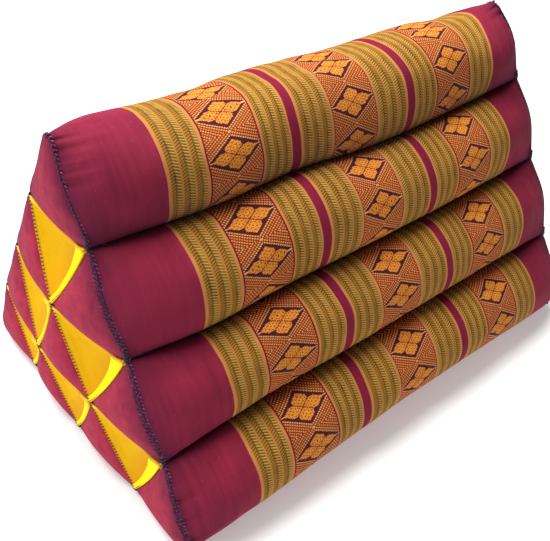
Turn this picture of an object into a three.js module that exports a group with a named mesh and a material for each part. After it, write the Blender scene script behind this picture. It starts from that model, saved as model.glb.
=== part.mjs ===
// Triangle cushion: ten stuffed tubes sewn side by side into a three-sided bolster. Each face shows four
// plump rolls with a deep sewn channel between them, and each end shows the ten bulging tube ends with a
// sunk gusset let in wherever three tubes meet.
// Millimetres, +Z up, X along the tubes, the front face towards -Y, standing on the plane z = 0.
import * as THREE from "three";

// Driving dimensions.
const TUBE_SIDE = 84; // one side of a tube's triangular section, seam to seam
const TUBE_ROWS = 4; // rows of tubes from the ridge to the base, and rolls on each face
const SEAM_LENGTH = 484; // between the seams that run round the two ends
const BASE_SEAM_HEIGHT = 11; // the base seams hang above the floor on flattened rolls
const ROLL_CROWN = { middle: 22, end: 2.5, falloff: 7 }; // a roll's rise over the line between its seams
const FACE_CROWN = 5; // halfway along, the filling pushes a face's seams out
const RIDGE_SAG = 9; // and draws its corners in: the ridge sinks
const FOOT_DRAW = 6; // and both feet move inwards
const SEAM_SAG = [0, 11, 3.5, 3.5, 0]; // and each seam slides down its face, from the ridge to the foot
const END_SEAM_BOW = 3; // the end seam bows outwards between two channels
const END_DOME = 13; // the knots inside an end stand out past its rim
const TUBE_END_CROWN = 4; // a tube end's own bulge
const GUSSET_HOLLOW = 6; // a gusset sinks between the tube ends round it
const GUSSET_THICKNESS = 1.5;
const GUSSET_GAP = 0.3; // between a gusset and the filled tubes behind it
const GUSSET_MARGIN = 1; // between a gusset's edge and the seam beside it
const PILLOW_EDGE = 0.7; // under 1 a bulge starts steeply at its edge, as a stuffed skin does

// How plump each roll is, in order: down the front, under the base from front to back, up the back.
const PLUMPNESS = [1.0, 1.03, 0.98, 1.02, 1.0, 0.97, 0.99, 1.0, 1.02, 0.97, 1.03, 1.0];

// The section's three corners: the seam that each lies at, and how far from it the corner is worn round,
// as a share of one roll.
const CORNERS = [
  { name: "ridge", seam: 0, softness: 0.14 },
  { name: "front foot", seam: 4, softness: 0.28 },
  { name: "back foot", seam: 8, softness: 0.28 },
];

// How finely the skin is divided.
const STEPS_PER_ROLL = 8;
const STEPS_ALONG = 30;
const CORNER_SAMPLES = [-1, -0.5, 0, 0.5, 1];

const ROLLS = 3 * TUBE_ROWS;
const HALF_LENGTH = SEAM_LENGTH / 2;
const ROW_HEIGHT = (TUBE_SIDE * Math.sqrt(3)) / 2;

// A knot is a place where tubes meet at an end. Row 0 is the ridge, and place 0 is on the back face.
const knotName = (row, place) => ({ row, place });

function knotPoint({ row, place }) {
  return new THREE.Vector2((row / 2 - place) * TUBE_SIDE, BASE_SEAM_HEIGHT + (TUBE_ROWS - row) * ROW_HEIGHT);
}

// The knots in order round the rim, from the ridge down the front, back under the base and up again.
function rimKnot(anySeam) {
  const seam = anySeam % ROLLS;
  const side = Math.floor(seam / TUBE_ROWS) % 3;
  const step = seam % TUBE_ROWS;
  if (side === 0) return knotName(step, step);
  if (side === 1) return knotName(TUBE_ROWS, TUBE_ROWS - step);
  return knotName(TUBE_ROWS - step, 0);
}

function rimSeam({ row, place }) {
  if (row === place) return row;
  if (row === TUBE_ROWS) return 2 * TUBE_ROWS - place;
  return place === 0 ? ROLLS - row : null;
}

function rollCrown(roll, x) {
  const along = Math.min(1, Math.abs(x) / HALF_LENGTH);
  const { middle, end, falloff } = ROLL_CROWN;
  return PLUMPNESS[roll] * (end + (middle - end) * (1 - along ** falloff));
}

// Where a seam of the section runs at a place along the cushion.
function seamPoint(seam, x) {
  const knot = rimKnot(seam);
  const point = knotPoint(knot);
  const middling = 1 - Math.min(1, Math.abs(x) / HALF_LENGTH) ** 2;
  if (knot.row === 0) return point.add(new THREE.Vector2(0, -RIDGE_SAG * middling));
  const face = knot.place === 0 ? 1 : -1;
  if (knot.row === TUBE_ROWS) {
    const isFoot = knot.place === 0 || knot.place === TUBE_ROWS;
    const inward = new THREE.Vector2((-face * Math.sqrt(3)) / 2, 0.5);
    return isFoot ? point.addScaledVector(inward, FOOT_DRAW * middling) : point;
  }
  const outward = new THREE.Vector2((face * Math.sqrt(3)) / 2, 0.5).multiplyScalar(FACE_CROWN * middling);
  const down = new THREE.Vector2(face / 2, -Math.sqrt(3) / 2).multiplyScalar(SEAM_SAG[knot.row] * middling);
  return point.add(outward).add(down);
}

// Height of a circular arc over its chord, at a share of the way along the chord.
function arcHeight(share, chord, crown) {
  const radius = (chord ** 2 / 4 + crown ** 2) / (2 * crown);
  return Math.sqrt(radius ** 2 - ((share - 0.5) * chord) ** 2) - radius + crown;
}

// A point of the section before its corners are worn round. The round place counts rolls from the ridge.
function sharpPoint(roundPlace, x) {
  const turned = (roundPlace + ROLLS) % ROLLS;
  const roll = Math.floor(turned);
  const share = turned - roll;
  const from = seamPoint(roll, x);
  const to = seamPoint(roll + 1, x);
  const chord = from.distanceTo(to);
  const outward = new THREE.Vector2(to.y - from.y, from.x - to.x).divideScalar(chord);
  return from.lerp(to, share).addScaledVector(outward, arcHeight(share, chord, rollCrown(roll, x)));
}

function cornerReach(roundPlace) {
  for (const { seam, softness } of CORNERS) {
    const away = Math.abs(((roundPlace - seam + 1.5 * ROLLS) % ROLLS) - ROLLS / 2);
    if (away < 0.5) return softness * (1 - (2 * away) ** 2);
  }
  return 0;
}

// A point of the section: corners are averaged round, and nothing reaches below the floor.
function sectionPoint(roundPlace, x) {
  const reach = cornerReach(roundPlace);
  const point = new THREE.Vector2();
  for (const offset of CORNER_SAMPLES) point.add(sharpPoint(roundPlace + reach * offset, x));
  point.divideScalar(CORNER_SAMPLES.length);
  point.y = Math.max(0, point.y);
  return point;
}

const seamBow = (share) => END_SEAM_BOW * Math.sin(Math.PI * share) ** 2;

// A point of the long skin, with the share along running from -1 at one end seam to 1 at the other.
function skinPoint(roundPlace, shareAlong) {
  const x = shareAlong * (HALF_LENGTH + seamBow(roundPlace % 1));
  const { x: y, y: z } = sectionPoint(roundPlace, shareAlong * HALF_LENGTH);
  return new THREE.Vector3(x, y, z);
}

// The end's edge between two neighbouring knots of the rim, as a function of the share along it.
function rimEdge(from, to) {
  const [start, stop] = [rimSeam(from), rimSeam(to)];
  if (start === null || stop === null) return null;
  const step = ((stop - start + 1.5 * ROLLS) % ROLLS) - ROLLS / 2;
  if (Math.abs(step) !== 1) return null;
  return (share) => sectionPoint(start + step * share, HALF_LENGTH);
}

const seatedKnot = (knot) => (rimSeam(knot) === null ? knotPoint(knot) : sectionPoint(rimSeam(knot), HALF_LENGTH));

const knotReach = (knot) => HALF_LENGTH + (rimSeam(knot) === null ? END_DOME : 0);

// A point of one of the end's small triangles, from its three knots and their weights. The crown is
// positive for a bulging tube end and negative for a sunk gusset.
function endPoint(knots, weights, crown) {
  const seats = knots.map(seatedKnot);
  const point = new THREE.Vector2();
  let reach = 0;
  for (const [index, weight] of weights.entries()) {
    point.addScaledVector(seats[index], weight);
    reach += weight * knotReach(knots[index]);
  }
  for (const [a, b] of [[0, 1], [1, 2], [2, 0]]) {
    const edge = rimEdge(knots[a], knots[b]);
    const hold = weights[a] + weights[b];
    if (!edge || hold === 0) continue;
    const share = weights[b] / hold;
    point.addScaledVector(edge(share).sub(seats[a].clone().lerp(seats[b], share)), hold ** 2);
    reach += seamBow(share) * hold ** 2;
  }
  const middle = Math.max(0, 27 * weights[0] * weights[1] * weights[2]);
  return new THREE.Vector3(reach + crown * middle ** PILLOW_EDGE, point.x, point.y);
}

// The small triangles of one face of a triangular grid, as triples of weights.
function gridTriangles(steps) {
  const at = (i, j) => [(steps - i) / steps, (i - j) / steps, j / steps];
  const found = [];
  for (let i = 0; i < steps; i += 1) {
    for (let j = 0; j <= i; j += 1) {
      found.push([at(i, j), at(i + 1, j), at(i + 1, j + 1)]);
      if (j < i) found.push([at(i, j), at(i + 1, j + 1), at(i, j + 1)]);
    }
  }
  return found;
}

// The lattice of an end: ten tube ends that point up, and six gussets that point down.
function endLattice() {
  const tubeEnds = [];
  const gussets = [];
  for (let row = 0; row < TUBE_ROWS; row += 1) {
    for (let place = 0; place <= row; place += 1) {
      tubeEnds.push([knotName(row, place), knotName(row + 1, place), knotName(row + 1, place + 1)]);
      if (place < row) {
        gussets.push([knotName(row, place), knotName(row + 1, place + 1), knotName(row, place + 1)]);
      }
    }
  }
  return { tubeEnds, gussets };
}

const LATTICE = endLattice();

// In the lattice's own order a small triangle faces -X, so the +X end's triangles are turned over.
function toEnd(end, triangles) {
  return triangles.map((corners) => {
    const moved = corners.map((point) => new THREE.Vector3(end * point.x, point.y, point.z));
    return end > 0 ? moved.reverse() : moved;
  });
}

// Two rows of points, joined into a strip of triangles.
function strip(first, second) {
  const found = [];
  for (let i = 0; i + 1 < first.length; i += 1) {
    found.push([first[i], first[i + 1], second[i + 1]], [first[i], second[i + 1], second[i]]);
  }
  return found;
}

function meshFrom(name, triangles, finish) {
  const geometry = new THREE.BufferGeometry().setFromPoints(triangles.flat());
  geometry.computeVertexNormals();
  const mesh = new THREE.Mesh(geometry, new THREE.MeshStandardMaterial(finish));
  mesh.name = name;
  return mesh;
}

function skinTriangles() {
  const found = [];
  const line = (step) => {
    const roundPlace = (step / STEPS_PER_ROLL) % ROLLS;
    return Array.from({ length: STEPS_ALONG + 1 }, (_, j) => skinPoint(roundPlace, (2 * j) / STEPS_ALONG - 1));
  };
  for (let step = 0; step < ROLLS * STEPS_PER_ROLL; step += 1) found.push(...strip(line(step + 1), line(step)));
  return found;
}

// The weights along one edge of a lattice triangle, and the same weights moved in to the gusset's edge.
function edgeWeights(side) {
  return Array.from({ length: STEPS_PER_ROLL + 1 }, (_, step) => {
    const weights = [0, 0, 0];
    weights[side] = 1 - step / STEPS_PER_ROLL;
    weights[(side + 1) % 3] = step / STEPS_PER_ROLL;
    return weights;
  });
}

function movedIn(weights) {
  const shrink = (3 * GUSSET_MARGIN) / ROW_HEIGHT;
  return weights.map((weight) => weight * (1 - shrink) + shrink / 3);
}

function hollowPoint(knots, weights, lift = 0) {
  const point = endPoint(knots, weights, -GUSSET_HOLLOW);
  point.x += lift;
  return point;
}

function tubeEndTriangles(knots) {
  return gridTriangles(STEPS_PER_ROLL).map((corners) =>
    corners.map((weights) => endPoint(knots, weights, TUBE_END_CROWN)),
  );
}

// The hollow that a gusset covers: a narrow border by its seams, and the field inside it.
function hollowTriangles(knots) {
  const found = hollowSheet(knots, 0);
  for (const side of [0, 1, 2]) {
    const seam = edgeWeights(side).map((weights) => hollowPoint(knots, weights));
    const inner = edgeWeights(side).map((weights) => hollowPoint(knots, movedIn(weights)));
    found.push(...strip(seam, inner));
  }
  return found;
}

function hollowSheet(knots, lift) {
  return gridTriangles(STEPS_PER_ROLL).map((corners) =>
    corners.map((weights) => hollowPoint(knots, movedIn(weights), lift)),
  );
}

// One solid for the whole filled body: ten tubes, their channels, their ends and the hollows between them.
function filledBody() {
  const ends = [...LATTICE.tubeEnds.flatMap(tubeEndTriangles), ...LATTICE.gussets.flatMap(hollowTriangles)];
  const triangles = [...skinTriangles(), ...toEnd(-1, ends), ...toEnd(1, ends)];
  return meshFrom("cushion", triangles, { color: 0x9c2340, roughness: 0.85, metalness: 0 });
}

// A gusset's sheet lies over the hollow behind it.
function gussetTriangles(knots) {
  const [near, far] = [GUSSET_GAP, GUSSET_GAP + GUSSET_THICKNESS];
  const found = [...hollowSheet(knots, far), ...hollowSheet(knots, near).map((corners) => corners.reverse())];
  for (const side of [0, 1, 2]) {
    const row = (lift) => edgeWeights(side).map((weights) => hollowPoint(knots, movedIn(weights), lift));
    found.push(...strip(row(near), row(far)));
  }
  return found;
}

function gussets(end, endName) {
  const group = new THREE.Group();
  for (const [index, knots] of LATTICE.gussets.entries()) {
    const name = `${endName}_gusset_${index + 1}`;
    const finish = { color: 0xf0b414, roughness: 0.8, metalness: 0 };
    group.add(meshFrom(name, toEnd(end, gussetTriangles(knots)), finish));
  }
  return group;
}

const cushion = new THREE.Group();
cushion.add(filledBody(), gussets(-1, "left"), gussets(1, "right"));

export default cushion;
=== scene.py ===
import math
import bmesh
import bpy
import numpy as np
from mathutils import Matrix, Vector, noise


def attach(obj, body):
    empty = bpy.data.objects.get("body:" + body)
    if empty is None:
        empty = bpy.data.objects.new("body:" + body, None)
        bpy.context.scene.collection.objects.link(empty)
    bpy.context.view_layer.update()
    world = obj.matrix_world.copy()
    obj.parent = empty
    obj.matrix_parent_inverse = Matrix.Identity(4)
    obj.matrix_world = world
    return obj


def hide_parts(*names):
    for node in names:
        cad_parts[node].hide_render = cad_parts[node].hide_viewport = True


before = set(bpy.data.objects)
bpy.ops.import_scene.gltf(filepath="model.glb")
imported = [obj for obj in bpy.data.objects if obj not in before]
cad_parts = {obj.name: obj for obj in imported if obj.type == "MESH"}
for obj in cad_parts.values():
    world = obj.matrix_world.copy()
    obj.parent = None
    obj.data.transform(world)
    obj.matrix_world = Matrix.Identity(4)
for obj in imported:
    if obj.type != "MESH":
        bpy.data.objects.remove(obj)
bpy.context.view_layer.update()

# The stuffed cover. One cotton cloth is wrapped round three faces of ten kapok-stuffed tubes and stitched
# down between them, so each face shows four plump rolls with a deep sewn channel between two rolls. The
# ends of the tubes are closed with plain cotton. The filling makes all of it one padded body.
MM = 0.001
TUBE_SIDE = 84
ROWS = 4
ROLLS = 3 * ROWS
HALF_LENGTH = 242
ROW_HEIGHT = TUBE_SIDE * math.sqrt(3) / 2
BASE_SEAM_HEIGHT = 11
CROWN_MIDDLE, CROWN_END = 22, 2.5
CROWN_FALLOFF = [14, 7, 7, 7, 7, 7, 7, 7, 7, 7, 7, 14]
FULL_CROWN = 22
FACE_CROWN = 5
RIDGE_SAG = 11.5
RIDGE_DIPS = ((-125, 40, 3.5), (186, 40, 8))
FOOT_DRAW = 6
SEAM_SAG = [0, 9, 3.5, -4.5, 0]
# A seam between two rolls also wanders: its row, the place along the roll, the reach and the drop.
SEAM_WANDERS = ((1, -55, 60, -5.5), (2, -190, 60, 5), (3, -150, 60, -2.5))
NEAR_SEAM_BOW = [3, 3, 3, 2.5, -1, -1, -1, -1, -3, -3, -3, -3]
FAR_SEAM_BOW = [8, 6.5, 6.5, 6, 3, 3, 3, 3, 5, 5, 5, 5]
NEAR_KNOT_REACH = [0, 0, 0, 0, 0, 0, 3, 2, 0, 0, 0, 0]
FAR_KNOT_REACH = [-7, 5, 5, 3, 0, 0, 0, 0, 0, 0, 0, 0]
INNER_KNOT_SHIFT = {(3, 1): (0, -3.5, -2.6), (3, 2): (-2, -1, 0)}
FOOT_SHIFT = [(-8, -2), (0, 0), (3, -9), (0, -7), (0, -7)]
END_DOME = 13
TUBE_END_CROWN = [8, 8, 8, 7.5]
EDGE_BOW = {"level": (0, -5), "low level": (0, -1.5), "front": (-2, -1.2), "back": (2.5, -1.5)}
HOLLOW = 7.5
PILLOW_EDGE = 0.6
PLUMPNESS = [1.0, 1.03, 0.98, 1.02, 1.0, 0.97, 0.99, 1.0, 1.02, 0.97, 1.03, 1.0]
CORNER_SOFTNESS = {0: 0.14, 4: 0.28, 8: 0.28}
STEPS_ROUND = 40
STEPS_ALONG = 140
STUFFING_ROUND, STUFFING_ALONG = 12, 100
START_CROWN_SHARE = 0.86
CLOTH_SPARE = 0.035
STUFFING_LIMIT = 6
SMOOTHINGS = 5
CHANNEL_DEPTH, CHANNEL_END_DEPTH, CHANNEL_WIDTH = 8, 2, 2.3
WEAVE_PITCH = 35.8
FIRST_MOTIF = [14.5, 18.5, 23.5, 22.5, 14, 14, 14, 14, 12, 16, 13, 15]
WEAVE_SKEW = [0.055, 0.02, 0.01, -0.01, 0, 0, 0, 0, 0.02, -0.02, 0.01, 0.02]


def knot_point(knot):
    row, place = knot
    return np.array([(row / 2 - place) * TUBE_SIDE, BASE_SEAM_HEIGHT + (ROWS - row) * ROW_HEIGHT])


def rim_knot(seam):
    side, step = divmod(seam % ROLLS, ROWS)
    return [(step, step), (ROWS, ROWS - step), (ROWS - step, 0)][side]


def rim_seam(knot):
    row, place = knot
    if row == place:
        return row
    if row == ROWS:
        return 2 * ROWS - place
    return ROLLS - row if place == 0 else None


def seam_line(seam, x):
    row, place = rim_knot(seam)
    along = np.minimum(1, np.abs(x) / HALF_LENGTH)[:, None]
    middling = 1 - along**2
    line = np.repeat(knot_point((row, place))[None], len(x), axis=0)
    if row == 0:
        for place, reach, depth in RIDGE_DIPS:
            line = line - np.exp(-(((x - place) / reach) ** 2))[:, None] * [0, depth]
        return line - (1 - along**2.5) * [0, RIDGE_SAG]
    face = 1 if place == 0 else -1
    if row == ROWS:
        inward = np.array([-face * 0.866, 0.5]) * FOOT_DRAW
        line = line + (1 - middling) * FOOT_SHIFT[place]
        return line + middling * inward if place in (0, ROWS) else line
    outward = np.array([face * 0.866, 0.5]) * FACE_CROWN
    down = np.array([face * 0.5, -0.866])
    drop = middling * SEAM_SAG[row]
    for wander_row, spot, reach, depth in SEAM_WANDERS:
        if wander_row == row:
            drop = drop + np.exp(-(((x - spot) / reach) ** 2))[:, None] * (1 - along**6) * depth
    return line + middling * outward + drop * down


def roll_crown(roll, x):
    along = np.minimum(1, np.abs(x) / HALF_LENGTH)
    return PLUMPNESS[roll] * (CROWN_END + (CROWN_MIDDLE - CROWN_END) * (1 - along ** CROWN_FALLOFF[roll]))


def sharp_line(round_place, x):
    turned = round_place % ROLLS
    roll = int(turned)
    share = turned - roll
    start, stop = seam_line(roll, x), seam_line(roll + 1, x)
    chord = np.linalg.norm(stop - start, axis=1)
    outward = np.stack([stop[:, 1] - start[:, 1], start[:, 0] - stop[:, 0]], axis=1) / chord[:, None]
    crown = roll_crown(roll, x)
    radius = (chord**2 / 4 + crown**2) / (2 * crown)
    height = np.sqrt(radius**2 - ((share - 0.5) * chord) ** 2) - radius + crown
    return start + (stop - start) * share + outward * height[:, None], outward


def corner_reach(round_place):
    for seam, softness in CORNER_SOFTNESS.items():
        away = abs((round_place - seam + 1.5 * ROLLS) % ROLLS - ROLLS / 2)
        if away < 0.5:
            return softness * (1 - (2 * away) ** 2)
    return 0


def lump(*where):
    return noise.noise(Vector(where))


# How far the skin stands off the plain stuffed arc: lumps of filling, small tucks along the sewn channels
# and short puckers drawn up by the end seams.
PUCKERS = {0: (0.1, 0.19, 0.27, 0.36, 0.47), 3: (0.35, 0.55, 0.75), 11: (0.5, 0.64, 0.76, 0.88)}
PUCKER_REACH = (13, 19, 11, 17, 12)


def unevenness(roll, share, x):
    edge = np.array([HALF_LENGTH - abs(value) for value in x])
    swell = math.sin(math.pi * share) ** 0.6
    low = np.array([lump(value / 70, roll * 3.1 + share * 1.2, 1.7) for value in x])
    mid = np.array([lump(value / 26, roll * 5.3 + share * 3.2, 7.7) for value in x])
    height = swell * (2.0 * low + 0.8 * mid) * np.minimum(1, edge / 40)
    for seam, away in ((roll, share), (roll + 1, 1 - share)):
        if seam % ROWS:
            tuck = np.array([lump(value / 7.5, seam * 9.7, 3.3) for value in x])
            long_tuck = np.array([lump(value / 19, seam * 4.1, 5.3) for value in x])
            depth = (0.8 * tuck + 1.2 * long_tuck) * np.minimum(1, edge / 30)
            height = height + depth * math.exp(-away * TUBE_SIDE / 9) * min(1, away * TUBE_SIDE / 2)
    height = height + 1.3 * lump((roll + share) * 9.5, 11.3, 0.5) * np.exp(-edge / 13) * np.minimum(1, edge / 3)
    for place, reach in zip(PUCKERS.get(roll, ()), PUCKER_REACH):
        groove = math.exp(-(((share - place) * TUBE_SIDE / 2.3) ** 2))
        height = height - 2.1 * groove * np.exp(-((edge - 4) / reach) ** 2) * np.minimum(1, edge / 2)
    return height


def skin_line(roll, share, x, stuffing=None):
    round_place = roll + share
    reach = corner_reach(round_place)
    points, outward = sharp_line(round_place, x)
    if reach:
        around = [sharp_line(round_place + reach * offset, x)[0] for offset in (-1, -0.5, 0, 0.5, 1)]
        points = np.mean(around, axis=0)
    along = np.minimum(1, np.abs(x) / HALF_LENGTH)
    depth = CHANNEL_END_DEPTH + (CHANNEL_DEPTH - CHANNEL_END_DEPTH) * (1 - along**8)
    height = unevenness(roll, share, x)
    for seam, away in ((roll, share), (roll + 1, 1 - share)):
        if seam % ROWS:
            height = height - depth * math.exp(-away * TUBE_SIDE / CHANNEL_WIDTH)
    points = points + outward * height[:, None]
    if stuffing is not None:
        points = points + stuffing(round_place, x)
    points[:, 1] = np.maximum(points[:, 1], 0)
    return np.column_stack([x * (1 + seam_bow(roll, share, x) / HALF_LENGTH), points])


def seam_bow(roll, share, x):
    rise = math.sin(math.pi * share) ** 2
    near, far = (
        bow[roll] * rise + reach[roll] * (1 - share) + reach[(roll + 1) % ROLLS] * share
        for bow, reach in ((NEAR_SEAM_BOW, NEAR_KNOT_REACH), (FAR_SEAM_BOW, FAR_KNOT_REACH))
    )
    return np.where(x < 0, near, far)


# Near the ridge the cloth is drawn a little askew.
def cloth_drift(roll, share, x):
    away = {0: share, ROLLS - 1: 1 - share}.get(roll, 1)
    pull = 9 * math.exp(-(((x + 110) / 80) ** 2)) + 14 * math.exp(-(((x - 200) / 60) ** 2))
    return pull * math.cos(math.pi / 2 * min(1, away / 0.6)) ** 2


def arc_length(share):
    half_angle = 2 * math.atan(2 * FULL_CROWN / TUBE_SIDE)
    radius = TUBE_SIDE / (2 * math.sin(half_angle))
    return radius * (math.asin((2 * share - 1) * math.sin(half_angle)) + half_angle)


def eased(count, ease=0.5):
    return [i / count - ease * math.sin(2 * math.pi * i / count) / (2 * math.pi) for i in range(count + 1)]


def object_from(name, vertices, faces, edges=()):
    mesh = bpy.data.meshes.new(name)
    mesh.from_pydata([tuple(point) for point in vertices], edges, faces)
    mesh.update()
    piece = bpy.data.objects.new(name, mesh)
    bpy.context.scene.collection.objects.link(piece)
    return piece


# The filling. The cloth is cut a little larger than the slack tubes, held at its seams and pressed out from
# inside, so it draws up beside the stitching as a stuffed cover does.
def stuffed_out():
    places = [roll + i / STUFFING_ROUND for roll in range(ROLLS) for i in range(STUFFING_ROUND)]
    x = np.linspace(-HALF_LENGTH, HALF_LENGTH, STUFFING_ALONG + 1)
    slack = np.array([np.column_stack([x, sharp_line(place, x)[0]]) for place in places])
    heart = np.array([0, 0, 2 * BASE_SEAM_HEIGHT + ROWS * ROW_HEIGHT / 3])
    width = len(x)
    rows = len(places)
    quads = []
    for i in range(rows):
        for j in range(width - 1):
            a, b = i * width + j, (i + 1) % rows * width + j
            quads.append((a, b, b + 1, a + 1))
    slack += 0.15 * np.array([[lump(i * 0.9, j * 0.9, 2.2) for j in range(width)] for i in range(rows)])[:, :, None]
    tube = object_from("slack_cover", slack.reshape(-1, 3) * MM, quads)
    inward = (slack[6, width // 2] - heart) @ np.array(tube.data.polygons[6 * (width - 1) + width // 2].normal) < 0
    if inward:
        tube.data.flip_normals()
    held = tube.vertex_groups.new(name="held")
    for i in range(rows):
        for j in range(width):
            if i % STUFFING_ROUND == 0 or j in (0, width - 1):
                held.add([i * width + j], 1, "REPLACE")
    cloth = tube.modifiers.new("cloth", "CLOTH")
    cloth.settings.vertex_group_mass = "held"
    cloth.settings.use_pressure = True
    cloth.settings.uniform_pressure_force = 4
    cloth.settings.shrink_min = -CLOTH_SPARE
    cloth.settings.bending_stiffness = 0.2
    cloth.settings.effector_weights.gravity = 0
    cloth.collision_settings.use_collision = False
    for step in range(1, 21):
        bpy.context.scene.frame_set(step)
    settled = tube.evaluated_get(bpy.context.evaluated_depsgraph_get())
    pressed = np.array([vertex.co[:] for vertex in settled.data.vertices]).reshape(slack.shape) / MM
    bpy.context.scene.frame_set(1)
    bpy.data.objects.remove(tube)
    return x, pressed - slack


def curve_through(four, part):
    before, start, stop, after = four
    slope_in, slope_out = (stop - before) / 2, (after - start) / 2
    rise = stop - start
    bend = 3 * rise - 2 * slope_in - slope_out
    return start + part * (slope_in + part * (bend + part * (slope_in + slope_out - 2 * rise)))


def stuffing_field():
    x, moved = stuffed_out()
    far = np.linalg.norm(moved, axis=2)
    moved = moved * np.minimum(1, STUFFING_LIMIT / np.maximum(far, 1e-6))[:, :, None]
    free = np.arange(len(moved)) % STUFFING_ROUND > 0
    for _ in range(SMOOTHINGS):
        around = (np.roll(moved, 1, axis=0) + 2 * moved + np.roll(moved, -1, axis=0)) / 4
        moved[free] = around[free]
        moved[:, 1:-1] = (moved[:, :-2] + 2 * moved[:, 1:-1] + moved[:, 2:]) / 4

    def smooth(places, knots, where):
        place = np.clip(np.interp(where, places, np.arange(len(places))), 0, len(places) - 1.001)
        whole = place.astype(int)
        part = (place - whole)[:, None]
        pick = [knots[np.clip(whole + k, 0, len(places) - 1)] for k in (-1, 0, 1, 2)]
        return curve_through(pick, part)

    def at(round_place, where):
        line = round_place * STUFFING_ROUND
        whole, part = int(line), line - int(line)
        near = [smooth(x, moved[(whole + k) % len(moved)], where)[:, 1:] for k in (-1, 0, 1, 2)]
        return curve_through(near, part)

    return at


spacing = eased(STEPS_ROUND)
stations = np.linspace(-1, 1, STEPS_ALONG + 1)
stations = HALF_LENGTH * (0.7 * stations + 0.3 * np.sin(stations * math.pi / 2))
CROWN_MIDDLE *= START_CROWN_SHARE
stuffing = stuffing_field()
skin = np.array([skin_line(roll, share, stations, stuffing) for roll in range(ROLLS) for share in spacing[:-1]])


# An end's small triangle: its three knots, the rim's own points where it lies on the rim, and a bulge.
def end_seat(knot, end):
    seam = rim_seam(knot)
    if seam is None:
        out, aside, up = INNER_KNOT_SHIFT.get(knot, (0, 0, 0))
        return np.array([end * (HALF_LENGTH + END_DOME + out), *(knot_point(knot) + (aside, up))])
    return skin[seam * STEPS_ROUND % len(skin), -1 if end > 0 else 0]


# A seam between a tube end and a gusset bows a little, because the tube end is the fuller of the two.
def inner_bow(first, second):
    rows, places = abs(first[0] - second[0]), abs(first[1] - second[1])
    level = "level" if first[0] < ROWS - 1 else "low level"
    kind = level if rows == 0 else "back" if rows == places else "front"
    return np.array([0, *EDGE_BOW[kind]])


def end_patch(knots, end, crown, weights):
    seats = [end_seat(knot, end) for knot in knots]
    point = sum(weight * seat for weight, seat in zip(weights, seats))
    for a, b in ((0, 1), (1, 2), (2, 0)):
        start, stop = rim_seam(knots[a]), rim_seam(knots[b])
        hold = weights[a] + weights[b]
        if hold == 0:
            continue
        share = weights[b] / hold
        on_rim = start is not None and stop is not None
        step = (stop - start + 1.5 * ROLLS) % ROLLS - ROLLS / 2 if on_rim else 0
        if abs(step) != 1:
            point = point + inner_bow(knots[a], knots[b]) * (4 * share * (1 - share) * hold**2)
            continue
        roll, along = (start, share) if step > 0 else (stop, 1 - share)
        first = roll * STEPS_ROUND
        column = -1 if end > 0 else 0
        edge = [skin[(first + i) % len(skin), column] for i in range(STEPS_ROUND + 1)]
        rim = np.array([np.interp(along, spacing, [point[k] for point in edge]) for k in range(3)])
        point = point + (rim - seats[a] * (1 - share) - seats[b] * share) * hold**2
    middle = max(0, 27 * weights[0] * weights[1] * weights[2])
    point[0] += end * crown * middle**PILLOW_EDGE
    return point


def grid_weights(steps, i, j):
    shares = eased(steps)
    eased_shares = [shares[n] for n in (steps - i, i - j, j)]
    return [share / sum(eased_shares) for share in eased_shares]


def lattice():
    tube_ends, gussets = [], []
    for row in range(ROWS):
        for place in range(row + 1):
            tube_ends.append([(row, place), (row + 1, place), (row + 1, place + 1)])
            if place < row:
                gussets.append([(row, place), (row + 1, place + 1), (row, place + 1)])
    return tube_ends, gussets


def triangle_grid(steps):
    corners = [(i, j) for i in range(steps + 1) for j in range(i + 1)]
    index = {corner: n for n, corner in enumerate(corners)}
    faces = []
    for i in range(steps):
        for j in range(i + 1):
            faces.append((index[i, j], index[i + 1, j], index[i + 1, j + 1]))
            if j < i:
                faces.append((index[i, j], index[i + 1, j + 1], index[i, j + 1]))
    return corners, faces


tube_ends, gussets = lattice()
corners, grid_faces = triangle_grid(STEPS_ROUND)

vertices = [tuple(point) for line in skin for point in line]
faces, finish_of, cloth_place = [], [], []
row_length = len(stations)
for line in range(len(skin)):
    roll = line // STEPS_ROUND
    step = line % STEPS_ROUND
    following = (line + 1) % len(skin)
    for j in range(row_length - 1):
        a, b = line * row_length + j, following * row_length + j
        faces.append((a, b, b + 1, a + 1))
        finish_of.append(0 if roll < ROWS or roll >= 2 * ROWS else 1)
        rounds = [spacing[step], spacing[step + 1], spacing[step + 1], spacing[step]]
        places = [stations[j], stations[j], stations[j + 1], stations[j + 1]]
        for share, x in zip(rounds, places):
            x = x * (1 + float(seam_bow(roll, share, x)) / HALF_LENGTH)
            v = roll * 14 * WEAVE_PITCH + arc_length(share) - FIRST_MOTIF[roll] + WEAVE_SKEW[roll] * x
            cloth_place.append(((x - cloth_drift(roll, share, x)) * MM, v * MM))
# Painted shade on the tube ends, darker near the front and back rim seams.
end_rim = []
for end in (-1, 1):
    for knots, crown in [(k, TUBE_END_CROWN[k[0][0]]) for k in tube_ends] + [(k, -HOLLOW) for k in gussets]:
        first = len(vertices)
        on_front, on_back = knots[0][0] == knots[0][1] and crown > 0, knots[0][1] == 0 and crown > 0
        for i, j in corners:
            away = grid_weights(STEPS_ROUND, i, j)
            reach = [away[side] * ROW_HEIGHT for side, lies in ((1, on_front), (2, on_back)) if lies]
            end_rim.append(math.exp(-min(reach, default=99) / 13))
        vertices += [tuple(end_patch(knots, end, crown, grid_weights(STEPS_ROUND, i, j))) for i, j in corners]
        for face in grid_faces:
            faces.append(tuple(first + n for n in face))
            finish_of.append(1)
            cloth_place += [(vertices[first + n][1] * MM, vertices[first + n][2] * MM) for n in face]

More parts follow.
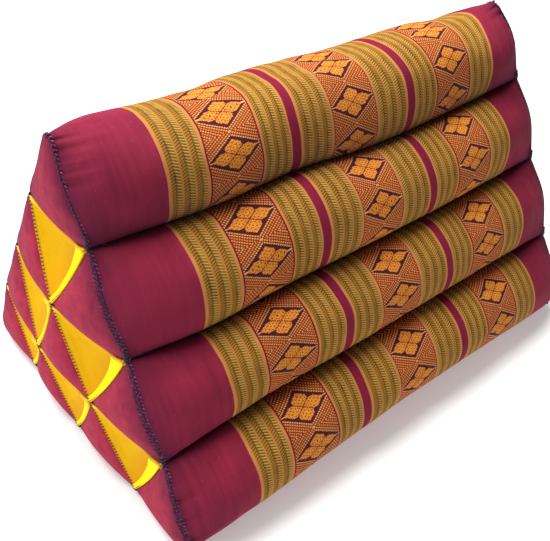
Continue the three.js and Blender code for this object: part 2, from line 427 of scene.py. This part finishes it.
cover = object_from("stuffed_cover", np.array(vertices) * MM, faces)
cloth_map = cover.data.uv_layers.new(name="cloth")
for loop, place in zip(cloth_map.data, cloth_place):
    loop.uv = place
for polygon, finish in zip(cover.data.polygons, finish_of):
    polygon.material_index = finish

# How near a point lies to a sewn channel or to an end seam, kept on the mesh for the painted shade that darkens the
# cloth there.
channel = np.zeros(len(vertices))
rim = np.zeros(len(vertices))
for line in range(len(skin)):
    roll, share = line // STEPS_ROUND, spacing[line % STEPS_ROUND]
    near = [away * TUBE_SIDE for seam, away in ((roll, share), (roll + 1, 1 - share)) if seam % ROWS]
    span = slice(line * row_length, (line + 1) * row_length)
    # Painted shade: the low edge of the top roll on each face also gets a long darkening, as if turned away from the
    # light.
    low_edge = {0: 1 - share, ROLLS - 1: share}.get(roll, 9) * TUBE_SIDE
    channel[span] = max(math.exp(-min(near, default=99) / 5), 0.84 * math.exp(-low_edge / 32))
    # Painted shade near the end seams, darker towards each end of the rolls.
    rim[span] = np.exp((np.abs(stations) - HALF_LENGTH) / 9)
rim[len(skin) * row_length :] = end_rim
for name, values in (("channel", channel), ("rim", rim)):
    cover.data.attributes.new(name, "FLOAT", "POINT").data.foreach_set("value", values)

shape = bmesh.new()
shape.from_mesh(cover.data)
bmesh.ops.remove_doubles(shape, verts=shape.verts, dist=0.00002)
bmesh.ops.recalc_face_normals(shape, faces=shape.faces)
for face in shape.faces:
    face.smooth = True
shape.to_mesh(cover.data)
shape.free()


class Wire:
    """A node's output that takes part in sums."""

    def __init__(self, recipe, socket):
        self.recipe, self.socket = recipe, socket

    def sum(self, operation, *values):
        return self.recipe.add("ShaderNodeMath", {"operation": operation}, values)

    def __add__(self, other):
        return self.sum("ADD", self, other)

    def __sub__(self, other):
        return self.sum("SUBTRACT", self, other)

    def __rsub__(self, other):
        return self.sum("SUBTRACT", other, self)

    def __mul__(self, other):
        return self.sum("MULTIPLY", self, other)

    def __truediv__(self, other):
        return self.sum("DIVIDE", self, other)

    def __mod__(self, other):
        return self.sum("FLOORED_MODULO", self, other)

    def __pow__(self, other):
        return self.sum("POWER", self, other)

    def __abs__(self):
        return self.sum("ABSOLUTE", self)

    def __gt__(self, other):
        return self.sum("GREATER_THAN", self, other)

    def __lt__(self, other):
        return self.sum("LESS_THAN", self, other)

    def __or__(self, other):
        return self.sum("MAXIMUM", self, other)

    def __and__(self, other):
        return self.sum("MINIMUM", self, other)

    def floor(self):
        return self.sum("FLOOR", self)

    __radd__ = __add__
    __rmul__ = __mul__


class Recipe:
    """Adds nodes to a material's tree or to a geometry tree."""

    def __init__(self, tree):
        self.tree = tree

    def add(self, kind, settings=None, values=(), output=0):
        node = self.tree.nodes.new(kind)
        for name, value in (settings or {}).items():
            setattr(node, name, value)
        for key, value in values.items() if isinstance(values, dict) else enumerate(values):
            if isinstance(value, Wire):
                self.tree.links.new(value.socket, node.inputs[key])
            else:
                node.inputs[key].default_value = value
        return Wire(self, node.outputs[output])

    def mix(self, share, first, second, blend="MIX"):
        return self.add(
            "ShaderNodeMix", {"data_type": "RGBA", "blend_type": blend}, {0: share, 6: first, 7: second}, 2
        )

    def noise(self, where, scale, detail=2):
        return self.add("ShaderNodeTexNoise", {}, {"Vector": where, "Scale": scale, "Detail": detail})

    def stretched(self, x, y, z=0.0):
        return self.add("ShaderNodeCombineXYZ", {}, (x, y, z))


def new_finish(name, roughness, sheen=0.0):
    material = bpy.data.materials.new(name)
    material.use_nodes = True
    shader = material.node_tree.nodes["Principled BSDF"]
    shader.inputs["Roughness"].default_value = roughness
    shader.inputs["Sheen Weight"].default_value = sheen
    shader.inputs["Specular IOR Level"].default_value = 0.15
    return material, Recipe(material.node_tree), shader


def dye(red, green, blue):
    levels = (red, green, blue)
    linear = [(value / 255 / 12.92) if value < 11 else ((value / 255 + 0.055) / 1.055) ** 2.4 for value in levels]
    return (*linear, 1)


def connect(recipe, wire, socket):
    recipe.tree.links.new(wire.socket, socket)


# Maroon cotton, piece-dyed and slightly streaky, with the odd paler slub.
def maroon_dye(recipe, u, v):
    streaks = recipe.noise(recipe.stretched(u / 5, v / 80), 1, 4)
    mottle = recipe.noise(recipe.stretched(u / 30, v / 30, 4.0), 1, 2)
    slub = recipe.noise(recipe.stretched(u / 1.6, v / 5, 9.0), 1, 1)
    colour = recipe.mix(streaks, dye(116, 27, 54), dye(166, 43, 71))
    colour = recipe.mix((mottle - 0.45) * 1.0, colour, dye(182, 53, 72))
    grain = recipe.noise(recipe.stretched(u / 1.3, v / 1.3, 6.0), 1, 2)
    colour = recipe.mix((grain - 0.35) * 0.5, colour, dye(96, 20, 46))
    return recipe.mix((slub > 0.74) * 0.3, colour, dye(196, 84, 110))


def weave_height(recipe, u, v, thread):
    along = abs((u / thread) % 1 - 0.5)
    across = abs((v / thread) % 1 - 0.5)
    turn = ((u / thread).floor() + (v / thread).floor()) % 2
    return turn * along + (1 - turn) * across


# Painted shade: the cloth is darkened next to the sewn channels and next to the end seams.
def shaded(recipe, colour):
    channel_near = recipe.add("ShaderNodeAttribute", {"attribute_name": "channel"}, (), 2)
    rim_near = recipe.add("ShaderNodeAttribute", {"attribute_name": "rim"}, (), 2)
    colour = recipe.mix(channel_near * channel_near * 0.85, colour, dye(32, 20, 44))
    return recipe.mix(rim_near * 0.62, colour, dye(60, 22, 56))


def finish_cloth(recipe, shader, colour, height, strength):
    connect(recipe, colour, shader.inputs["Base Color"])
    bump = recipe.add("ShaderNodeBump", {}, {"Strength": strength, "Distance": 0.0004, "Height": height})
    connect(recipe, bump, shader.inputs["Normal"])


def plain_cotton():
    material, recipe, shader = new_finish("maroon cotton", 0.9)
    place = recipe.add("ShaderNodeUVMap", {"uv_map": "cloth"})
    u = recipe.add("ShaderNodeSeparateXYZ", {}, (place,), 0) * 1000
    v = recipe.add("ShaderNodeSeparateXYZ", {}, (place,), 1) * 1000
    blotch = recipe.noise(recipe.stretched(u / 9, v / 9, 3.0), 1, 3)
    colour = recipe.mix((blotch - 0.3) * 0.5, maroon_dye(recipe, u, v), dye(242, 78, 92))
    finish_cloth(recipe, shader, shaded(recipe, colour), weave_height(recipe, u, v, 0.9), 0.5)
    return material


# The woven cloth: maroon borders, then olive-gold bands of ticks, orange bands of rhombi and thin maroon
# stripes, the same on both sides of the middle. The motifs are woven in steps of one thread.
THREAD = 0.75
BAND_CENTRE = 3.5
OUTER_ORANGE, HALF_ORANGE = 125, 25
RHOMB_WIDE, RHOMB_HIGH = 25, 14.5
RHOMB_SLOPE = math.hypot(1, RHOMB_WIDE / RHOMB_HIGH)
RHOMB_SIDE = math.hypot(RHOMB_WIDE, RHOMB_HIGH)


def between(value, low, high):
    return (value > low) & (value < high)


def rhomb_band(recipe, across, along, plain_across, plain_along):
    orange, rust, plum, cream = dye(240, 150, 58), dye(122, 34, 26), dye(82, 27, 38), dye(242, 174, 102)
    away, up = abs(across), abs(along)
    edge = (away + up * (RHOMB_WIDE / RHOMB_HIGH) - RHOMB_WIDE) / RHOMB_SLOPE
    lean = away / RHOMB_WIDE - up / RHOMB_HIGH
    out, high = abs(plain_across), abs(plain_along)
    rows = (out + high * (RHOMB_WIDE / RHOMB_HIGH) - RHOMB_WIDE) / RHOMB_SLOPE / 2.1
    row = rows.floor()
    step = (out / RHOMB_WIDE - high / RHOMB_HIGH) * (RHOMB_SIDE / 2)
    dots = between((step / 2.1 + row * 0.5) % 1, 0.06, 0.72) & between(rows % 1, 0.1, 0.7)
    light = abs(up - WEAVE_PITCH / 2) + abs(away - 18) < 2.6
    thread = recipe.mix(row % 2, dye(238, 140, 62), dye(246, 160, 82))
    thread = recipe.mix(light | (rows < 1), thread, cream)
    colour = recipe.mix(dots, rust, thread)
    colour = recipe.mix(edge < 0.2, colour, plum)
    notch = (1 - abs(lean) * 4.4) * 2.6 | 0.0
    field = edge + notch < -2.2
    lobe_a, lobe_b = abs(across / RHOMB_WIDE + along / RHOMB_HIGH), abs(across / RHOMB_WIDE - along / RHOMB_HIGH)
    cell_a, cell_b = abs(((lobe_a - 0.06) / 0.22) % 1 - 0.5), abs(((lobe_b - 0.06) / 0.22) % 1 - 0.5)
    grid = between((plain_across / 2.1) % 1, 0.3, 0.62) & between((plain_along / 2.1) % 1, 0.25, 0.6)
    stitched = recipe.mix(grid | (cell_a + cell_b < 0.24), orange, dye(150, 62, 28))
    stitched = recipe.mix(abs(lobe_a - 0.39) + abs(lobe_b - 0.39) < 0.14, stitched, dye(236, 166, 30))
    stitched = recipe.mix(abs(lobe_a - 0.39) + abs(lobe_b - 0.39) < 0.06, stitched, plum)
    stitched = recipe.mix((lobe_a & lobe_b) < 0.035, stitched, rust)
    colour = recipe.mix(field, colour, stitched)
    return recipe.mix((up < 0.45) & between(away, 19.5, 25), colour, cream)


def tick_band(recipe, place, width, columns, along):
    gold, dark, pale, tan = dye(184, 124, 46), dye(84, 68, 16), dye(220, 174, 86), dye(212, 138, 76)
    margin = 2.0
    column = (place - margin) / (width - 2 * margin) * columns
    across = column % 1 - 0.5
    lower = across > 0
    wear = recipe.noise(recipe.stretched(place / 6, along / 14, 8.0), 1, 2)
    phase = (along / 2.3 + lower * 0.4 - abs(across) * 1.9) % 1
    ticks = recipe.mix(phase < 0.74, gold, recipe.mix(lower, pale, gold))
    ticks = recipe.mix((phase < 0.45) * (0.35 + wear), ticks, dark)
    ticks = recipe.mix((abs(across) < 0.07) * wear, ticks, dye(66, 52, 14))
    ground = recipe.mix(between(place, margin, width - margin), tan, dye(194, 134, 58))
    return recipe.mix((abs(across) < 0.41) & between(place, margin, width - margin), ground, ticks)


def woven_cloth():
    material, recipe, shader = new_finish("woven cloth", 0.85)
    place = recipe.add("ShaderNodeUVMap", {"uv_map": "cloth"})
    u = recipe.add("ShaderNodeSeparateXYZ", {}, (place,), 0) * 1000
    v = recipe.add("ShaderNodeSeparateXYZ", {}, (place,), 1) * 1000
    wander = recipe.noise(recipe.stretched(u / 60, v / 40, 2.0), 1, 1)
    across = u - BAND_CENTRE + (wander - 0.5) * 3
    thread_across = (across / THREAD).floor() * THREAD + THREAD / 2
    thread_along = (v / THREAD).floor() * THREAD + THREAD / 2
    out = abs(thread_across)
    outer = out > 75
    motif = out - outer * OUTER_ORANGE
    rise = (thread_along + WEAVE_PITCH / 2) % WEAVE_PITCH - WEAVE_PITCH / 2
    plain_motif = abs(across) - outer * OUTER_ORANGE
    plain_rise = (v + WEAVE_PITCH / 2) % WEAVE_PITCH - WEAVE_PITCH / 2
    colour = rhomb_band(recipe, motif, rise, plain_motif, plain_rise)
    border = between(abs(motif), HALF_ORANGE - 1.2, HALF_ORANGE)
    colour = recipe.mix(border, colour, dye(128, 26, 42))
    for inner, outer_edge, columns in ((25, 60.5, 3), (69.5, 100, 3), (150, 184.5, 3)):
        band = tick_band(recipe, out - inner, outer_edge - inner, columns, v)
        colour = recipe.mix(between(out, inner, outer_edge), colour, band)
    maroon = maroon_dye(recipe, u, v)
    colour = recipe.mix(between(out, 60.5, 69.5), colour, recipe.mix(0.6, maroon, dye(132, 24, 54)))
    colour = recipe.mix(out > 184.5, colour, maroon)
    fade = recipe.noise(recipe.stretched(u / 30, v / 30, 7.0), 1, 3)
    colour = recipe.mix(0.35, colour, recipe.mix(fade, (0.62, 0.6, 0.6, 1), (1.3, 1.3, 1.3, 1)), "MULTIPLY")
    finish_cloth(recipe, shader, shaded(recipe, colour), weave_height(recipe, u, v, THREAD), 0.6)
    return material


cotton = plain_cotton()
for material in (woven_cloth(), cotton):
    cover.data.materials.append(material)
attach(cover, "root")
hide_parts("cushion")

# The gussets. Six small triangles of yellow cotton close each end between the tube ends. Each is
# whip-stitched along its back edge and turned back along its front one, and the filling pulls it hollow.
GUSSET_STEPS = 16
GUSSET_MARGIN = 0.2
GUSSET_HOLLOW = 6
GUSSET_LIFT = (0.3, 1.5)


# How far the hem along the front edge is turned back, as a share of the gusset's height.
def turned_width(to_tip):
    return 0.055 + 0.22 * to_tip**1.6


def gusset_point(knots, end, weights, lift):
    shrink = 3 * GUSSET_MARGIN / ROW_HEIGHT
    moved = [weight * (1 - shrink) + shrink / 3 for weight in weights]
    point = end_patch(knots, end, -GUSSET_HOLLOW, moved)
    hem = math.exp(-min(weights) * ROW_HEIGHT / 1.8)
    turned = min(1, max(0, (turned_width(weights[2]) - weights[0]) / 0.12))
    if lift > 1:
        lift += 2.6 * turned * min(1, 8 * weights[0] + 0.3) + 0.5 * hem
    point[0] += end * lift
    return point


def yellow_cotton():
    material, recipe, shader = new_finish("yellow cotton", 0.75, 0.02)
    place = recipe.add("ShaderNodeUVMap", {"uv_map": "cloth"})
    shader.inputs["Specular IOR Level"].default_value = 0.05
    second = recipe.add("ShaderNodeSeparateXYZ", {}, (place,), 0)
    third = recipe.add("ShaderNodeSeparateXYZ", {}, (place,), 1)
    first = 1 - second - third
    where = recipe.add("ShaderNodeTexCoord", {}, (), 3)
    mottle = recipe.noise(where, 60, 3)
    fine = recipe.noise(where, 900, 2)
    colour = recipe.mix(mottle, dye(208, 150, 0), dye(222, 174, 0))
    colour = recipe.mix((fine - 0.4) * 0.5, colour, dye(236, 194, 4))
    # Painted shade: the field darkens to deep orange just beside the turned hem.
    beside = first - turned_width(third)
    colour = recipe.mix((1 - beside * 4 | 0.0) * 0.55, colour, dye(206, 128, 0))
    # Painted highlight: the turned hem is a brighter lemon where it turns up towards the light.
    colour = recipe.mix(first < turned_width(third), colour, dye(255, 236, 16))
    colour = recipe.mix(second < 0.03, colour, dye(255, 206, 60))
    connect(recipe, colour, shader.inputs["Base Color"])
    bump = recipe.add("ShaderNodeBump", {}, {"Strength": 0.35, "Distance": 0.0004, "Height": fine})
    connect(recipe, bump, shader.inputs["Normal"])
    return material


yellow = yellow_cotton()
gusset_corners, gusset_faces = triangle_grid(GUSSET_STEPS)
border = [(i, 0) for i in range(GUSSET_STEPS)] + [(GUSSET_STEPS, j) for j in range(GUSSET_STEPS)]
border += [(i, i) for i in range(GUSSET_STEPS, 0, -1)]
for end, side in ((-1, "left"), (1, "right")):
    for number, knots in enumerate(gussets, 1):
        shares = [[part / GUSSET_STEPS for part in (GUSSET_STEPS - i, i - j, j)] for i, j in gusset_corners]
        points = [gusset_point(knots, end, weights, lift) for lift in GUSSET_LIFT for weights in shares]
        count = len(shares)
        sheet_faces = [face[::-1] for face in gusset_faces]
        sheet_faces += [tuple(count + n for n in face) for face in gusset_faces]
        edge = [gusset_corners.index(corner) for corner in border]
        for a, b in zip(edge, edge[1:] + edge[:1]):
            sheet_faces.append((a, b, count + b, count + a))
        gusset = object_from(f"{side}_gusset_cloth_{number}", np.array(points) * MM, sheet_faces)
        layer = gusset.data.uv_layers.new(name="cloth")
        for loop, corner in zip(layer.data, gusset.data.loops):
            weights = shares[corner.vertex_index % count]
            loop.uv = (weights[1], weights[2])
        shape = bmesh.new()
        shape.from_mesh(gusset.data)
        bmesh.ops.recalc_face_normals(shape, faces=shape.faces)
        for face in shape.faces:
            face.smooth = True
        shape.to_mesh(gusset.data)
        shape.free()
        gusset.data.materials.append(yellow)
        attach(gusset, "root")
        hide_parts(f"{side}_gusset_{number}")

# The sewing. A plum cord closes each end seam, with violet stitches and a navy overcast. The gussets are
# stitched with wine thread, and navy running stitches hold the channels. Seams are knotted off where they meet.
def socket_name(tree, name):
    return next(item.identifier for item in tree.interface.items_tree if item.name == name)


def thread_tree(name, inputs):
    tree = bpy.data.node_groups.new(name, "GeometryNodeTree")
    tree.interface.new_socket("Geometry", in_out="OUTPUT", socket_type="NodeSocketGeometry")
    tree.interface.new_socket("Geometry", in_out="INPUT", socket_type="NodeSocketGeometry")
    for title, kind in inputs:
        tree.interface.new_socket(title, in_out="INPUT", socket_type=kind)
    recipe = Recipe(tree)
    given = tree.nodes.new("NodeGroupInput")
    wires = {socket.name: Wire(recipe, socket) for socket in given.outputs if socket.name}
    return tree, recipe, wires


def close_tree(recipe, geometry, thread):
    whole = recipe.add("GeometryNodeRealizeInstances", {}, {"Geometry": geometry})
    dyed = recipe.add("GeometryNodeSetMaterial", {}, {"Geometry": whole, "Material": thread})
    recipe.tree.links.new(dyed.socket, recipe.tree.nodes.new("NodeGroupOutput").inputs[0])


def stitch_tree():
    sizes = [(title, "NodeSocketFloat") for title in ("Pitch", "Length", "Thickness", "Slant")]
    sizes += [("Seed", "NodeSocketInt"), ("Thread", "NodeSocketMaterial")]
    tree, recipe, given = thread_tree("stitches", sizes)
    path = recipe.add("GeometryNodeMeshToCurve", {}, {"Mesh": given["Geometry"]})
    path = recipe.add("GeometryNodeResampleCurve", {"mode": "LENGTH"}, {"Curve": path, "Length": given["Pitch"]})
    facing = recipe.add("GeometryNodeInputNamedAttribute", {"data_type": "FLOAT_VECTOR"}, {"Name": "facing"})
    tangent = recipe.add("GeometryNodeInputTangent")
    upright = recipe.add("FunctionNodeAlignRotationToVector", {"axis": "Z"}, {"Vector": facing})
    along = recipe.add(
        "FunctionNodeAlignRotationToVector",
        {"axis": "X", "pivot_axis": "Z"},
        {"Rotation": upright, "Vector": tangent},
    )
    chance = recipe.add("FunctionNodeRandomValue", {}, {2: -1.0, 3: 1.0, "Seed": given["Seed"]}, 1)
    lean = given["Slant"] + chance * 0.16
    twist = recipe.add("FunctionNodeAxisAngleToRotation", {}, {"Axis": (0, 0, 1), "Angle": lean})
    turned = recipe.add(
        "FunctionNodeRotateRotation", {"rotation_space": "LOCAL"}, {"Rotation": along, "Rotate By": twist}
    )
    length = given["Length"] * (0.5 + chance * 0.06)
    thickness = given["Thickness"] * 0.5
    size = recipe.add("ShaderNodeCombineXYZ", {}, (length, thickness, thickness))
    bead = recipe.add("GeometryNodeMeshUVSphere", {}, {"Segments": 6, "Rings": 4, "Radius": 1.0})
    placed = recipe.add(
        "GeometryNodeInstanceOnPoints", {}, {"Points": path, "Instance": bead, "Rotation": turned, "Scale": size}
    )
    close_tree(recipe, placed, given["Thread"])
    return tree


def yarn_tree():
    tree, recipe, given = thread_tree("yarn", [("Thickness", "NodeSocketFloat"), ("Thread", "NodeSocketMaterial")])
    path = recipe.add("GeometryNodeMeshToCurve", {}, {"Mesh": given["Geometry"]})
    ring = recipe.add("GeometryNodeCurvePrimitiveCircle", {}, {"Resolution": 6, "Radius": given["Thickness"] * 0.5})
    yarn = recipe.add("GeometryNodeCurveToMesh", {}, {"Curve": path, "Profile Curve": ring, "Fill Caps": True})
    close_tree(recipe, yarn, given["Thread"])
    return tree


def sewn(name, paths, tree, **sizes):
    points = [point for path in paths for point, facing in path]
    edges, first = [], 0
    for path in paths:
        edges += [(first + i, first + i + 1) for i in range(len(path) - 1)]
        first += len(path)
    sewing = object_from(name, np.array(points) * MM, [], edges)
    facing = sewing.data.attributes.new("facing", "FLOAT_VECTOR", "POINT")
    facing.data.foreach_set("vector", np.array([facing for path in paths for _, facing in path]).ravel())
    modifier = sewing.modifiers.new("sewing", "NODES")
    modifier.node_group = tree
    for title, value in sizes.items():
        modifier[socket_name(tree, title)] = value
    sewing.update_tag()
    bpy.context.view_layer.update()
    made = sewing.evaluated_get(bpy.context.evaluated_depsgraph_get())
    mesh = bpy.data.meshes.new_from_object(made)
    sewing.modifiers.remove(modifier)
    sewing.data = mesh
    sewing.data.shade_smooth()
    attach(sewing, "root")


def thread_finish(name, dark, light, sheen):
    material, recipe, shader = new_finish(name, 0.6, sheen)
    where = recipe.add("ShaderNodeTexCoord", {}, (), 3)
    strands = recipe.noise(where, 520, 2)
    connect(recipe, recipe.mix((strands - 0.5) * 6, dark, light), shader.inputs["Base Color"])
    fine = recipe.noise(where, 1800, 1)
    bump = recipe.add("ShaderNodeBump", {}, {"Strength": 0.5, "Distance": 0.0003, "Height": fine})
    connect(recipe, bump, shader.inputs["Normal"])
    return material


navy = thread_finish("navy thread", dye(34, 18, 44), dye(104, 66, 116), 0.2)
plum = thread_finish("plum thread", dye(56, 14, 42), dye(96, 30, 68), 0.1)
violet = thread_finish("violet thread", dye(112, 40, 86), dye(176, 104, 150), 0.2)
wine = thread_finish("wine thread", dye(104, 20, 42), dye(158, 50, 78), 0.1)
ends_yellow = thread_finish("yellow ends", dye(236, 176, 10), dye(255, 232, 60), 0.2)
stitches, yarn = stitch_tree(), yarn_tree()


def unit(vector):
    return np.array(vector) / np.linalg.norm(vector)


def rim_facing(line, column, end):
    before, after = skin[line - 1, column], skin[(line + 1) % len(skin), column]
    return unit(np.array([end * 0.8, 0, 0]) + unit([0, after[2] - before[2], before[1] - after[1]]))


end_paths = []
for end, column in ((-1, 0), (1, -1)):
    loop = []
    for line in list(range(len(skin))) + [0]:
        facing = rim_facing(line, column, end)
        loop.append((skin[line, column] + facing * 0.25, facing))
    end_paths.append(loop)
sewn("end_seam_cord", end_paths, yarn, Thickness=0.0008, Thread=plum)
rows = [
    [(point - np.array([np.sign(point[0]) * 1.3, 0, 0]) + facing * 0.1, facing) for point, facing in loop]
    for loop in end_paths
]
sewn(
    "end_seam_stitches", rows, stitches,
    Pitch=0.003, Length=0.0034, Thickness=0.0011, Slant=0.9, Seed=3, Thread=violet,
)
rows = [[(point - facing * 0.1, facing) for point, facing in loop] for loop in end_paths]
sewn(
    "end_seam_overcast", rows, stitches,
    Pitch=0.0042, Length=0.004, Thickness=0.0011, Slant=-0.5, Seed=8, Thread=navy,
)

# Below the top tube the front edge of each end is whipped over once more.
whip_rows = []
for end, loop in zip((-1, 1), end_paths):
    row = []
    for line in range(STEPS_ROUND, ROWS * STEPS_ROUND + 1):
        point, facing = loop[line]
        swell = math.sin(math.pi * spacing[line % STEPS_ROUND])
        inward = -unit([0, facing[1], facing[2]]) * 1.3 * swell**0.3
        row.append((point + inward + [end * 1.9 * swell**0.6, 0, 0], facing))
    whip_rows.append(row)
sewn(
    "end_seam_whipping", whip_rows, stitches,
    Pitch=0.0031, Length=0.0042, Thickness=0.0011, Slant=1.0, Seed=6, Thread=navy,
)

whip_paths, hem_paths = [], []
for end in (-1, 1):
    for knots in gussets:
        for first, second in ((0, 1), (1, 2)):
            path = []
            for i in range(25):
                weights = [0, 0, 0]
                weights[first], weights[second] = 1 - i / 24, i / 24
                inner = [weight * 0.965 + 0.035 / 3 for weight in weights]
                path.append((end_patch(knots, end, -GUSSET_HOLLOW, inner) + np.array([end * 2.4, 0, 0]), (end, 0, 0)))
            (whip_paths if first == 0 else hem_paths).append(path)
sewn(
    "gusset_stitches", whip_paths, stitches,
    Pitch=0.0028, Length=0.0036, Thickness=0.0011, Slant=1.2, Seed=5, Thread=wine,
)
sewn("gusset_seam_cord", hem_paths, yarn, Thickness=0.0006, Thread=wine)

channel_paths = []
for roll in range(ROLLS):
    if roll % ROWS:
        line = roll * STEPS_ROUND
        path = []
        for j in range(2, row_length - 2):
            before, after = skin[line - 1, j], skin[line + 1, j]
            facing = unit([0, after[2] - before[2], before[1] - after[1]])
            path.append((skin[line, j] + facing * 0.7, facing))
        channel_paths.append(path)
sewn(
    "channel_stitches", channel_paths, stitches,
    Pitch=0.007, Length=0.0058, Thickness=0.0011, Slant=0.0, Seed=2, Thread=navy,
)

# Knots and the loose ends of thread, where the end seams meet the gussets.
chance = np.random.default_rng(11)


def loose_end(start, facing, length, droop):
    heading = unit(np.array(facing) + chance.normal(0, 0.7, 3))
    path, point = [], np.array(start, float)
    for _ in range(6):
        path.append((point.copy(), facing))
        heading = unit(heading + chance.normal(0, 0.35, 3) - np.array([0, 0, droop]))
        point = point + heading * length / 6
    return path


def knot_loops(centre, facing, size):
    loops = []
    for _ in range(5):
        a, b = unit(chance.normal(0, 1, 3)), unit(chance.normal(0, 1, 3))
        b = unit(b - a * (a @ b))
        turns = [centre + size * (a * math.cos(t) + b * math.sin(t)) for t in np.linspace(0, 2 * math.pi, 9)]
        loops.append([(turn, facing) for turn in turns])
    return loops


dark_ends, dark_knots, bright_ends = [], [], []
for end, column in ((-1, 0), (1, -1)):
    for seam in range(ROLLS):
        facing = rim_facing(seam * STEPS_ROUND, column, end)
        centre = skin[seam * STEPS_ROUND, column] + facing * 0.6
        dark_knots += knot_loops(centre, facing, 1.1)
        dark_ends += [loose_end(centre, facing, 2.5 + 2 * chance.random(), 0.2) for _ in range(2)]
        if seam in (1, 2, 3):
            for step in (2, 4, 6):
                dark_knots += knot_loops(skin[seam * STEPS_ROUND - step, column] + facing * 0.5, facing, 1.2)
            tuft = centre + (end * 1.2, 1.5, -1)
            for _ in range(16):
                start = tuft + chance.normal(0, 0.7, 3)
                bright_ends.append(loose_end(start, facing, 2 + 2.5 * chance.random(), 0.2))
    for knot in ((2, 1), (3, 1), (3, 2)):
        facing = np.array([end, 0, 0])
        centre = end_seat(knot, end) + facing * 0.8
        dark_knots += knot_loops(centre, facing, 0.9)
        bright_ends += [loose_end(centre, facing, 4 + 3 * chance.random(), 0.1) for _ in range(3)]
sewn("knots", dark_knots, yarn, Thickness=0.0009, Thread=navy)
sewn("thread_ends", dark_ends, yarn, Thickness=0.0005, Thread=navy)
sewn("frayed_ends", bright_ends, yarn, Thickness=0.0006, Thread=ends_yellow)

# The photographer's table: a pale floor, soft light and the camera.
floor = object_from("floor", [(-4, -4, 0), (4, -4, 0), (4, 4, 0), (-4, 4, 0)], [(0, 1, 2, 3)])
material, recipe, shader = new_finish("floor paper", 0.9)
shade = recipe.noise(recipe.add("ShaderNodeTexCoord", {}, (), 3), 3, 2)
connect(recipe, recipe.mix(shade, (0.79, 0.79, 0.79, 1), (0.82, 0.82, 0.82, 1)), shader.inputs["Base Color"])
shader.inputs["Emission Color"].default_value = (1, 1, 1, 1)
shader.inputs["Emission Strength"].default_value = 0.34
floor.data.materials.append(material)

CAMERA_PLACE = Vector((-0.42772, -0.41473, 0.55173))
CAMERA_AZIMUTH, CAMERA_DROP, CAMERA_ROLL = math.radians(44.04), math.radians(39.32), math.radians(5.44)
forward = Vector(
    (
        math.sin(CAMERA_AZIMUTH) * math.cos(CAMERA_DROP),
        math.cos(CAMERA_AZIMUTH) * math.cos(CAMERA_DROP),
        -math.sin(CAMERA_DROP),
    )
)
level = forward.cross(Vector((0, 0, 1))).normalized()
upright = level.cross(forward)
right = level * math.cos(CAMERA_ROLL) + upright * math.sin(CAMERA_ROLL)
upward = upright * math.cos(CAMERA_ROLL) - level * math.sin(CAMERA_ROLL)
camera_data = bpy.data.cameras.new("camera")
camera_data.sensor_width, camera_data.lens = 36, 49.98
camera = bpy.data.objects.new("camera", camera_data)
turn = Matrix((right, upward, -forward)).transposed()
camera.matrix_world = Matrix.Translation(CAMERA_PLACE) @ turn.to_4x4()
bpy.context.scene.collection.objects.link(camera)
bpy.context.scene.camera = camera


def soft_light(name, place, size, power, aim=(0, 0, 0.12)):
    data = bpy.data.lights.new(name, "AREA")
    data.shape, data.size, data.energy = "DISK", size, power
    light = bpy.data.objects.new(name, data)
    light.location = place
    light.rotation_euler = (Vector(aim) - Vector(place)).to_track_quat("-Z", "Y").to_euler()
    bpy.context.scene.collection.objects.link(light)


soft_light("key", (-0.2, 0.86, 2.5), 1.9, 122)
soft_light("left", (-2.0, 0.1, 0.7), 1.2, 18)
sky = bpy.data.worlds.new("studio")
sky.use_nodes = True
sky.node_tree.nodes["Background"].inputs[0].default_value = (1, 1, 1, 1)
sky.node_tree.nodes["Background"].inputs[1].default_value = 0.11
bpy.context.scene.world = sky
bpy.context.scene.view_settings.view_transform = "Standard"
